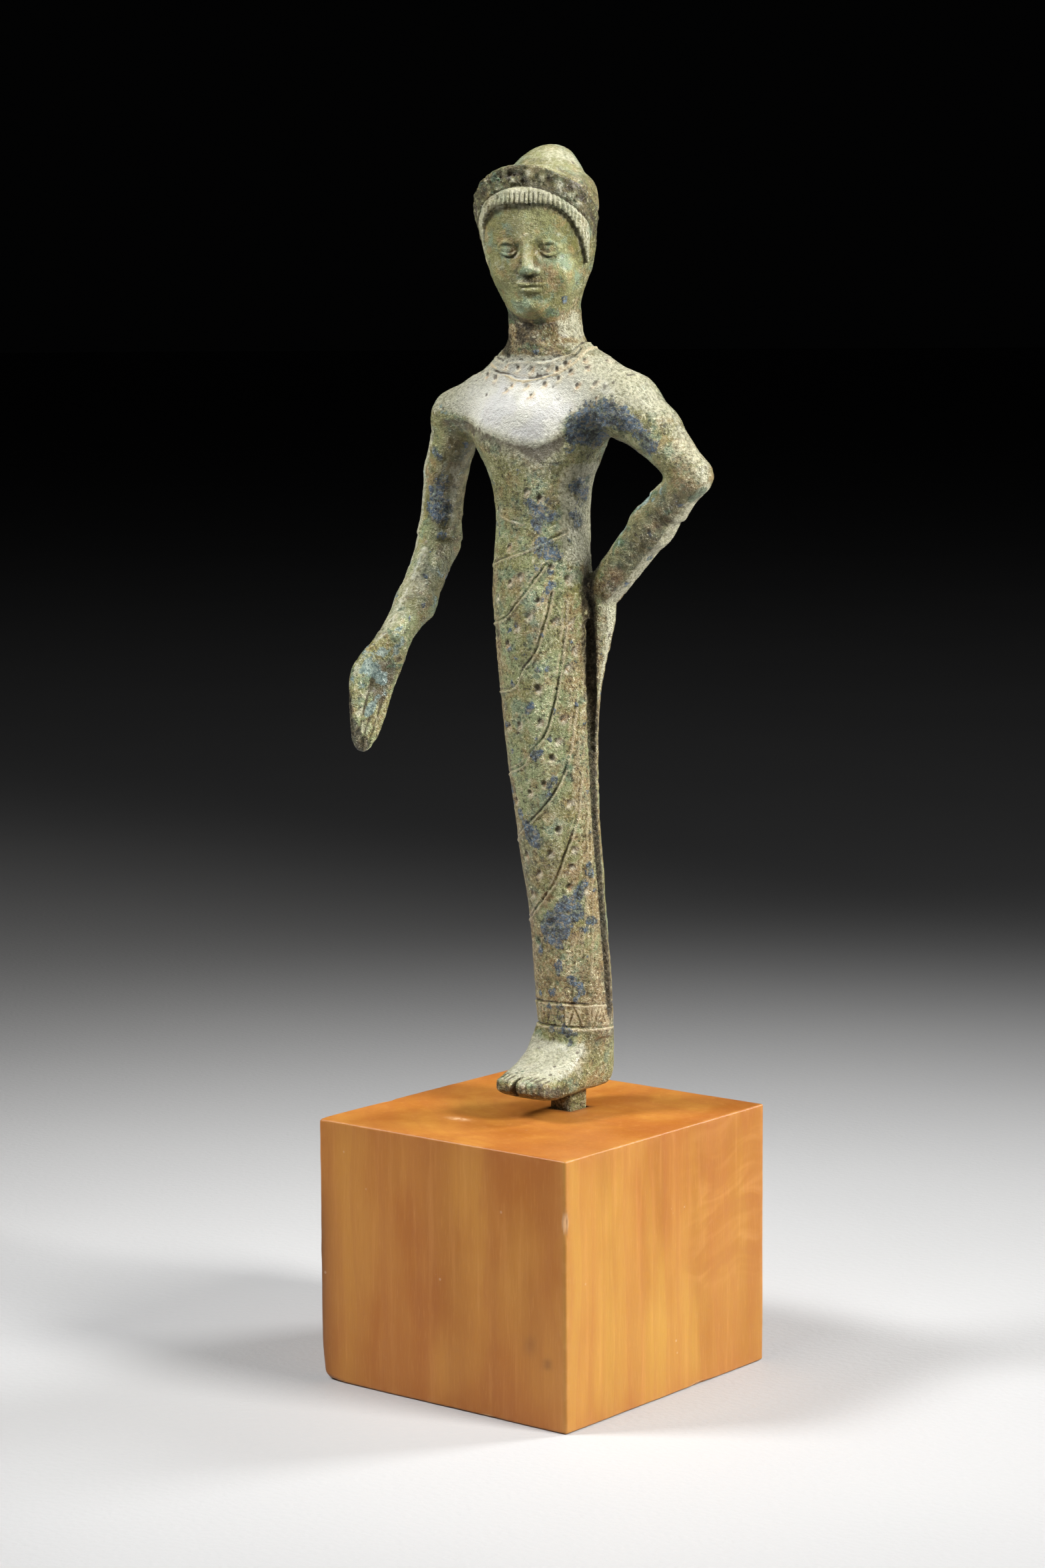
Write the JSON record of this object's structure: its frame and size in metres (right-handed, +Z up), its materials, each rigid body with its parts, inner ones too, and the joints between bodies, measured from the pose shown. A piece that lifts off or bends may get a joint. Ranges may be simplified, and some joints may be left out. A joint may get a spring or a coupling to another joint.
{
  "type": "etruscan votive bronze",
  "caption": "Small cast-bronze standing woman in a long dress and pointed cap, one hand on her hip, set by a tang in a wooden mount block.",
  "frame": {"origin": "middle of the wooden block's underside", "axes": "+Z up, the figure faces -Y, her left arm is on +X; the block's sides are square to X and Y"},
  "size_m": [0.0568, 0.052, 0.1957],
  "materials": {
    "patinated_bronze": "solid-cast bronze with a matt olive-green patina, blue and green copper salts, brown crust and rubbed pale high spots",
    "pear_wood": "oiled and waxed orange-brown fruitwood, end grain on top, small knocks on the edges"
  },
  "bodies": {
    "root": {"figure": "patinated_bronze", "wood_block": "pear_wood"}
  },
  "joints": []
}
